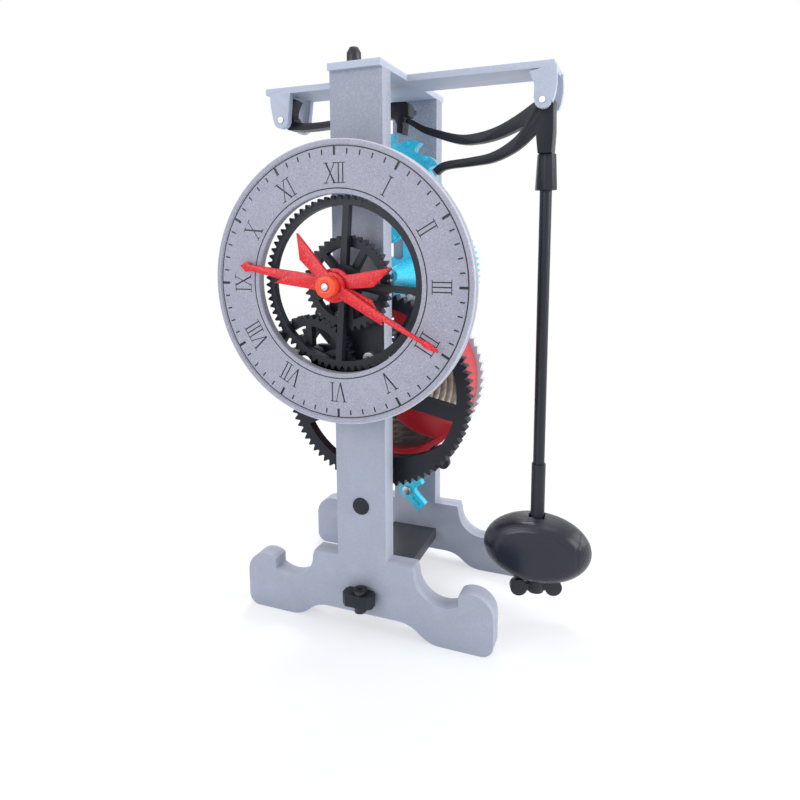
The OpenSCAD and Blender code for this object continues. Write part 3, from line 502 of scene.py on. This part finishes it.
def sparkling(name, colour, flake_colour):
    """Plastic with small bright flakes in it."""
    finish = Finish(name, HAND_ROUGHNESS, specular=0.35)
    spot = finish.spot()
    flake = {"Vector": finish.cells(spot, FLAKE, "Color")}
    chance = finish.node("ShaderNodeTexWhiteNoise", {"noise_dimensions": "3D"}, flake)
    bright = chance > DULL_CELLS
    cloud = finish.noise(spot, size=2.5, detail=3.0)
    body = finish.mix(cloud, shade(colour, share=0.72), colour)
    finish.give("Base Color", finish.mix(bright * FLAKE_SHARE, body, flake_colour))
    finish.give("Roughness", chance * FLAKE_ROUGHENS + HAND_ROUGHNESS)
    finish.give("Metallic", bright * FLAKE_METAL)
    ridge = finish.layers(finish.parts(spot)[AXIS["y"]])
    lines = finish.bump(ridge, LAYER_DEPTH)
    finish.give("Normal", finish.bump(chance, FLAKE_DEPTH, under=lines))
    return finish


hand_print = sparkling("sparkling red print", HAND_RED, FLAKE_RED)
print("flakes of", FLAKE, "mm")

# %% [markdown]
# Pins and arbors are plain steel rod with fine rings from turning. The mainspring is a
# bronze-coloured strip with long brush marks. Both are metals, so the colour sits in the
# reflection. Noise that changes quickly along the arbors' direction and slowly across it
# gives rings on a rod and, on the coiled strip, lines that follow its turns.

# %% Metals
MARKS_ACROSS = 0.25
MARKS_ALONG = 6.0
MARK_DEPTH = 0.01
MARK_SHARE = 0.5
MARK_ROUGHENS = 0.2
STAIN_SIZE = 4.0
STAIN_ROUGHENS = 0.1


def metal(name, colour, roughness, mark_axis="y"):
    """Drawn or turned metal with fine marks that change along an axis."""
    finish = Finish(name, roughness, metallic=1.0)
    spot = finish.spot()
    stretch = [MARKS_ACROSS, MARKS_ACROSS, MARKS_ACROSS]
    stretch[AXIS[mark_axis]] = MARKS_ALONG
    drawn = finish.node("ShaderNodeVectorMath", {"operation": "MULTIPLY"}, {0: spot, 1: stretch})
    marks = finish.noise(drawn, size=1.0, detail=3.0, roughness=0.6)
    stain = finish.noise(spot, STAIN_SIZE)
    tone = marks * MARK_SHARE + stain * (1 - MARK_SHARE)
    finish.give("Base Color", finish.mix(tone, shade(colour, share=0.8), colour))
    rough = (marks - 0.5) * MARK_ROUGHENS + stain * STAIN_ROUGHENS
    finish.give("Roughness", rough + roughness)
    finish.give("Normal", finish.bump(marks, MARK_DEPTH))
    return finish


steel = metal("turned steel", (0.66, 0.67, 0.70), 0.25)
upright_steel = metal("turned steel, upright", (0.62, 0.63, 0.66), 0.28, "z")
black_steel = metal("blackened steel", (0.06, 0.06, 0.068), 0.38, "z")
bronze = metal("bronze strip", (0.42, 0.31, 0.24), 0.3)
bush_brass = metal("bush brass", (0.62, 0.45, 0.20), 0.3)
print("nodes in a metal:", len(steel.tree.nodes))

# %% [markdown]
# Each piece now gets its finish. The pieces could be named one by one, but a table from
# finish to pieces keeps the choices in one place and makes a forgotten piece easy to spot.

# %% Finish of every piece
finishes = [
    (frame_print, ["front_frame"]),
    (rear_print, ["rear_frame"]),
    (bridge_print, ["top_bridge"]),
    (tie_print, ["base_tie"]),
    (black_print, [
        "column_plug", "wing_knobs", "dial_posts", "motion_bracket", "winding_knob", "great_wheel",
        "motion_pinion", "centre_pinion", "escape_pinion", "minute_wheel", "hour_wheel",
        "idler_wheel", "detent", "pendulum_head", "spring_core",
    ]),
    (upright_black, ["rod_collar", "rod_sleeve", "pendulum_rod", "rating_nut"]),
    (bob_print, ["bob_body", "bob_end"]),
    (cyan_print, ["click", "centre_wheel", "escape_wheel"]),
    (drum_print, ["spring_drum"]),
    (ratchet_print, ["ratchet_wheel"]),
    (cap_print, ["hand_cap"]),
    (dial_print, ["dial_ring"]),
    (hand_print, ["hour_hand", "minute_hand"]),
    (steel, [
        "tie_rod", "bracket_screws", "idler_stud", "detent_pin", "pendulum_pin", "click_pin",
        "winding_arbor", "centre_arbor", "escape_arbor",
    ]),
    (upright_steel, ["rating_screw", "bob_weight"]),
    (black_steel, ["top_screws", "knob_screws"]),
    (bronze, ["mainspring"]),
    (bush_brass, ["bushes"]),
]
finish_of = {name: finish for finish, names in finishes for name in names}
print("without a finish:", sorted(set(nodes) - set(finish_of)))
for name, piece in nodes.items():
    piece.data.materials.clear()
    piece.data.materials.append(finish_of[name].material)

# %% [markdown]
# CAD edges are perfectly sharp, and a real print's are not: the nozzle rounds them. A sharp
# edge shows no highlight, so it looks unreal. The Bevel modifier could round it, but a CAD
# mesh is loose triangles, and it is never changed itself. So a copy is made of each piece
# whose edges can be seen well, and the bevel operator works on the copy. Two pieces need
# more than that. The first is the dial, whose outer rim is rounded further than its other
# edges.

# %% Rounding chosen edges
DIAL_RIM = 43.9
RIM_FORWARD = 0.55
RIM_ROUND = 0.7
RIM_SEGMENTS = 4
RIM_SLACK = 0.05


def bevel(mesh, edges, width, segments):
    """Rounds the given edges of a mesh."""
    bmesh.ops.bevel(mesh, geom=edges, offset=width * MM, offset_type="OFFSET", segments=segments,
                    profile=0.5, affect="EDGES", clamp_overlap=True, material=-1, loop_slide=True)


def on_dial_rim(edge):
    """True if an edge lies on the front of the dial's outer rim."""
    rim_y = (DIAL_FRONT - RIM_FORWARD - MIDDLE_Y) * MM
    for vert in edge.verts:
        out = math.hypot(vert.co.x + MIDDLE_X * MM, vert.co.z - CENTRE_Z * MM)
        if abs(out - DIAL_RIM * MM) > RIM_SLACK * MM or abs(vert.co.y - rim_y) > RIM_SLACK * MM:
            return False
    return True


print("dial rim rounded by", RIM_ROUND, "mm")

# %% [markdown]
# The second is the frame. Under each shoulder, where the curve of the foot begins, there is
# a ledge little more than half a millimetre wide. A bevel needs more room than that and would
# fold over itself there, so the ledge's inner corner is first welded to its outer one.

# %% Filling the small ledges of the frames
LEDGE_X = 18.7
LEDGE_Z = 24.4
LEDGE = 0.7
NEAR = 0.02 * MM


def from_column(vert):
    """How far a point is from the middle of the column, to either side."""
    return abs(vert.co.x + MIDDLE_X * MM)


def fill_ledges(mesh):
    """Draws the inner corner of the small ledge under each shoulder out to its outer corner."""
    level_verts = [vert for vert in mesh.verts if abs(vert.co.z - LEDGE_Z * MM) < NEAR]
    inner_verts = [vert for vert in level_verts if abs(from_column(vert) - LEDGE_X * MM) < NEAR]
    joined = {}
    for inner in inner_verts:
        for outer in level_verts:
            same_depth = abs(inner.co.y - outer.co.y) < NEAR
            close_by = abs(inner.co.x - outer.co.x) < LEDGE * MM
            further_out = from_column(outer) - from_column(inner) > NEAR
            if same_depth and close_by and further_out:
                joined[inner] = outer
    bmesh.ops.weld_verts(mesh, targetmap=joined)
    return len(joined)


print("ledges at height", LEDGE_Z, "mm")

# %% [markdown]
# Now the pieces themselves. Each copy's triangles are joined, its flat faces are merged so
# that no bevel runs across a face, and its sharp edges are bevelled. The copy then stands for
# the CAD piece and rides on the same body. The toothed wheels, the pinions and the spring
# stay as they are: a bevel tears faces with that many teeth, and their edges are too small
# to show one.

# %% Soften the edges
SHARP = math.radians(32)
FLAT = math.radians(1.5)
SMOOTH = math.radians(35)
SAME_POINT = 0.004 * MM
SEGMENTS = 2


def soften(name, width):
    """A copy of a CAD piece with bevelled edges, which replaces it."""
    source = nodes[name]
    mesh = bmesh.new()
    mesh.from_mesh(source.data)
    bmesh.ops.remove_doubles(mesh, verts=mesh.verts, dist=SAME_POINT)
    bmesh.ops.dissolve_limit(mesh, angle_limit=FLAT, verts=mesh.verts, edges=mesh.edges)
    if name in ("front_frame", "rear_frame"):
        print("ledge corners filled:", fill_ledges(mesh))
    if name == "dial_ring":
        bevel(mesh, [edge for edge in mesh.edges if on_dial_rim(edge)], RIM_ROUND, RIM_SEGMENTS)
    edges = []
    for edge in mesh.edges:
        if len(edge.link_faces) == 2 and edge.calc_face_angle(0) > SHARP:
            edges.append(edge)
    bevel(mesh, edges, width, SEGMENTS)
    data = bpy.data.meshes.new(name + "_soft")
    mesh.to_mesh(data)
    mesh.free()
    soft = bpy.data.objects.new(name + "_soft", data)
    bpy.context.scene.collection.objects.link(soft)
    data.materials.append(finish_of[name].material)
    data.shade_smooth()
    data.set_sharp_from_angle(angle=SMOOTH)
    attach(soft, source["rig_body"])
    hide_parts(name)
    return soft


softened = [
    ("front_frame", 0.6), ("rear_frame", 0.6), ("top_bridge", 0.35), ("base_tie", 0.4),
    ("dial_ring", 0.12), ("hour_hand", 0.2), ("minute_hand", 0.2), ("hand_cap", 0.5),
    ("detent", 0.3), ("pendulum_head", 0.35), ("click", 0.3), ("wing_knobs", 0.4),
    ("rating_nut", 0.5), ("winding_knob", 0.5), ("spring_drum", 0.3), ("top_screws", 0.25),
    ("knob_screws", 0.25), ("rod_collar", 0.3), ("bob_body", 0.2), ("bob_end", 0.2),
    ("column_plug", 0.3), ("click_pin", 0.2), ("idler_stud", 0.2), ("centre_arbor", 0.2),
]
for name, width in softened:
    soft_piece = soften(name, width)
    print(name, "faces", len(soft_piece.data.polygons))

# %% [markdown]
# The clock stands on a plain white table in soft light. The floor is one large face. An
# ordinary white floor would turn grey where the light falls off. So for the camera and in
# reflections it glows plain white, except round the clock, where up to half of the real
# shading is kept and shows the clock's shadow. The floor's size and the shadow's reach are
# in metres.

# %% Floor
FLOOR_SIZE = 3.0
FLOOR_COLOUR = (0.89, 0.92, 0.97)
WHITE = (1, 1, 1)
SHADOW_REACH = 0.34
SHADOW_SHARE = 0.5
SHADOW_FADE = 0.2


def floor_finish():
    """White when it is seen, but near the clock a share of the real shading shows its shadow."""
    finish = Finish("pale floor", 0.9, specular=0.1)
    finish.give("Base Color", FLOOR_COLOUR)
    across, back = finish.parts(finish.spot())[:2]
    away = finish.maths("SQRT", across * across + back * back) * (MM / SHADOW_REACH)
    near = finish.maths("SMOOTH_MIN", 1 - away, 1.0, SHADOW_FADE)
    near = finish.maths("MAXIMUM", near, 0.0)
    seen = finish.any_ray("Is Camera Ray", "Is Glossy Ray")
    plain = Wire(finish, finish.shader.outputs[0])
    glow = finish.node("ShaderNodeEmission", None, {"Color": WHITE, "Strength": 1.0})
    sockets = {0: seen * (1 - near * SHADOW_SHARE), 1: plain, 2: glow}
    shown = finish.node("ShaderNodeMixShader", None, sockets)
    finish.put(finish.tree.nodes["Material Output"].inputs["Surface"], shown)
    return finish


floor_mesh = bpy.data.meshes.new("floor")
floor_shape = bmesh.new()
bmesh.ops.create_grid(floor_shape, x_segments=1, y_segments=1, size=FLOOR_SIZE)
floor_shape.to_mesh(floor_mesh)
floor_shape.free()
floor = bpy.data.objects.new("floor", floor_mesh)
bpy.context.scene.collection.objects.link(floor)
floor_mesh.materials.append(floor_finish().material)
print("floor faces", len(floor_mesh.polygons))

# %% [markdown]
# The world is what surrounds the scene. It lights the clock softly from all sides, at less
# than full strength so that the pale plastic doesn't burn out. Seen straight on, through
# something or in a reflection, it is plain white instead, as the photograph's background is.

# %% World
WORLD_COLOUR = (0.95, 0.97, 1.0)
WORLD_STRENGTH = 0.72

world = bpy.data.worlds.new("studio")
bpy.context.scene.world = world
world.use_nodes = True
sky = NodeMaker(world.node_tree)
background = sky.tree.nodes["Background"]
sky.put(background.inputs["Color"], WORLD_COLOUR)
sky.put(background.inputs["Strength"], WORLD_STRENGTH)
soft_light = Wire(sky, background.outputs[0])
plain_white = sky.node("ShaderNodeBackground", None, {"Color": WHITE, "Strength": 1.0})
looked_at = sky.any_ray("Is Camera Ray", "Is Transmission Ray", "Is Glossy Ray")
chosen = sky.node("ShaderNodeMixShader", None, {0: looked_at, 1: soft_light, 2: plain_white})
sky.put(sky.tree.nodes["World Output"].inputs["Surface"], chosen)
print("world strength", WORLD_STRENGTH)

# %% [markdown]
# Four square lamps shape the clock, because the world alone would leave it flat. The key
# hangs on the right and brightens the side walls of the frames. A weaker fill in front on
# the left lights the faces, and a top lamp lights what looks up. The last one is small, like
# a window high behind the clock, and draws the crisp highlights on the black pieces.

# %% Lamps
def lamp(name, spot, target, size, power, colour=WHITE):
    """A square soft lamp at a spot, aimed at a target, with a size in metres and a power in watts."""
    data = bpy.data.lights.new(name, "AREA")
    data.size = size
    data.energy = power
    data.color = colour
    thing = bpy.data.objects.new(name, data)
    bpy.context.scene.collection.objects.link(thing)
    aim = (Vector(target) - Vector(spot)).to_track_quat("-Z", "Y")
    thing.matrix_world = Matrix.Translation(Vector(spot)) @ aim.to_matrix().to_4x4()
    print("lamp", name, power, "W")


lamp("key", spot=(0.75, 0.05, 0.45), target=(0, 0, 0.1), size=0.45, power=3.8)
lamp("fill", spot=(-0.35, -0.75, 0.35), target=(0, 0, 0.07), size=0.5, power=2.3, colour=(0.96, 0.98, 1.0))
lamp("top", spot=(0.05, 0.15, 0.85), target=(0, 0, 0.1), size=0.5, power=1.8)
lamp("window", spot=(-0.14, 0.32, 0.6), target=(0.04, 0, 0.05), size=0.12, power=1.1)
bpy.context.scene.view_settings.view_transform = "Standard"
